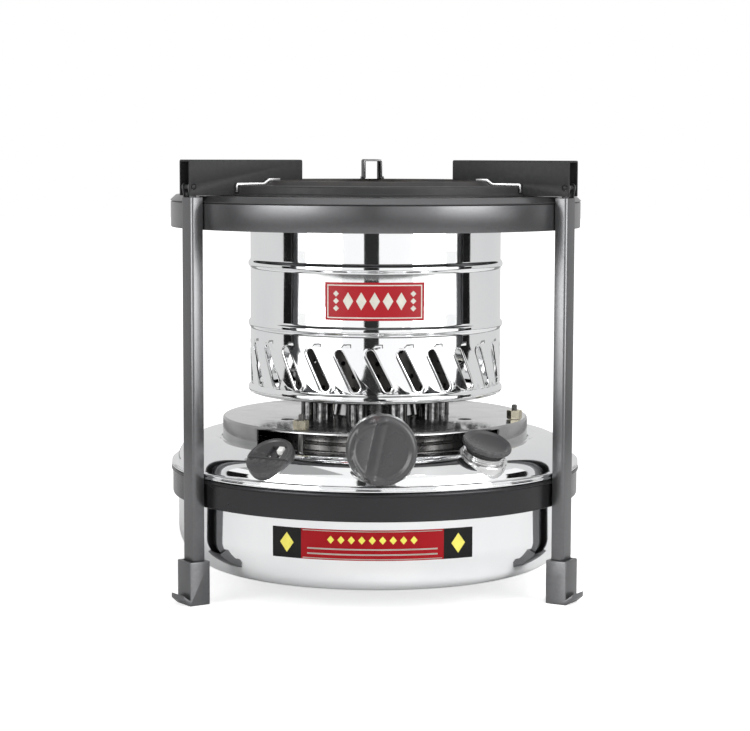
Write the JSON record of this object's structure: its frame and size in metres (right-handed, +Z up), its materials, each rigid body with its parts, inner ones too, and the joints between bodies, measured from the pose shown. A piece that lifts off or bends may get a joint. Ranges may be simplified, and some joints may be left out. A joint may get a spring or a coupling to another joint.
{
  "type": "kerosene wick stove",
  "caption": "Freestanding round wick stove: chrome fuel tank and slotted burner drum in a three-legged frame with folding pan supports, side knob, filler and fuel gauge.",
  "frame": {"origin": "on the floor under the burner's axis, midway between the outermost points of the stove", "axes": "+Z up along the burner's axis; the knob faces -Y; +X to the right seen from the knob's side"},
  "size_m": [0.27, 0.3026, 0.2807],
  "materials": {
    "frame_paint": "semi-gloss metallic grey paint",
    "black_enamel": "satin black enamel",
    "chrome": "polished chrome plate",
    "satin_steel": "satin nickel plate",
    "dark_steel": "blued heat-darkened steel",
    "brass": "machined brass",
    "dark_plastic": "moulded dark grey plastic",
    "rubber": "black fuel-proof rubber",
    "cotton": "braided cotton",
    "white_plastic": "white moulded plastic"
  },
  "bodies": {
    "frame": {"leg_left": "frame_paint", "foot_left": "frame_paint", "hinge_pin_left": "satin_steel", "leg_right": "frame_paint", "foot_right": "frame_paint", "hinge_pin_right": "satin_steel", "leg_rear": "frame_paint", "foot_rear": "frame_paint", "hinge_pin_rear": "satin_steel", "guide_rod_left": "dark_steel", "guide_rod_right": "dark_steel", "clamp_stud_front": "brass", "clamp_nut_front": "brass", "clamp_stud_right": "brass", "clamp_nut_right": "brass", "clamp_stud_rear": "brass", "clamp_nut_rear": "brass", "top_band": "frame_paint", "mid_band": "frame_paint", "top_plate": "black_enamel", "tank_base": "chrome", "tank_top": "chrome", "filler_neck": "satin_steel", "gauge_housing": "dark_plastic", "tank_gasket": "rubber", "burner_base": "dark_steel", "burner_plate": "satin_steel", "wick_tubes": "dark_steel", "flame_ring": "dark_steel", "shaft_bush": "brass", "shaft_bracket": "dark_steel"},
    "support_left": {"pan_support_left": "black_enamel"},
    "support_right": {"pan_support_right": "black_enamel"},
    "support_rear": {"pan_support_rear": "black_enamel"},
    "control": {"control_shaft": "satin_steel", "pinion": "satin_steel", "knob": "dark_plastic"},
    "wick_set": {"wick_1": "cotton", "wick_2": "cotton", "wick_3": "cotton", "wick_4": "cotton", "wick_5": "cotton", "wick_6": "cotton", "wick_7": "cotton", "wick_8": "cotton", "wick_9": "cotton", "wick_10": "cotton", "wick_carrier": "dark_steel", "wick_rack": "satin_steel"},
    "burner": {"drum": "chrome", "outer_sleeve": "dark_steel", "inner_sleeve": "dark_steel", "flame_spreader": "dark_steel", "cross_pin_1": "satin_steel", "cross_pin_2": "satin_steel", "cross_pin_3": "satin_steel"},
    "cap": {"filler_cap": "dark_plastic", "cap_seal": "rubber"},
    "fuel_float": {"gauge_float": "white_plastic"}
  },
  "joints": [
    {"name": "support_fold_left", "type": "hinge", "parent": "frame", "child": "support_left", "pos_m": [-0.11876, -0.07712, 0.2638], "axis": [0.5446, -0.8387, 0], "range_deg": [0, 130]},
    {"name": "support_fold_right", "type": "hinge", "parent": "frame", "child": "support_right", "pos_m": [0.11876, -0.07712, 0.2638], "axis": [0.5446, 0.8387, 0], "range_deg": [0, 130]},
    {"name": "support_fold_rear", "type": "hinge", "parent": "frame", "child": "support_rear", "pos_m": [0, 0.1416, 0.2638], "axis": [-1, 0, 0], "range_deg": [0, 130]},
    {"name": "knob_turn", "type": "hinge", "parent": "frame", "child": "control", "pos_m": [0, -0.14, 0.1068], "axis": [0, -1, 0], "range_deg": [0, 125]},
    {"name": "wick_lift", "type": "slide", "parent": "frame", "child": "wick_set", "axis": [0, 0, 1], "range_m": [0, 0.012]},
    {"name": "burner_lift", "type": "slide", "parent": "frame", "child": "burner", "axis": [0, 0, 1], "range_m": [0, 0.015]},
    {"name": "cap_lift", "type": "slide", "parent": "frame", "child": "cap", "axis": [0.2137, -0.3329, 0.9184], "range_m": [0, 0.03]},
    {"name": "float_lift", "type": "slide", "parent": "frame", "child": "fuel_float", "axis": [-0.3199, -0.4761, 0.8192], "range_m": [0, 0.004]}
  ],
  "couplings": [
    {"joint": "knob_turn", "follows": "wick_lift", "rad_per_m": 181.8}
  ]
}
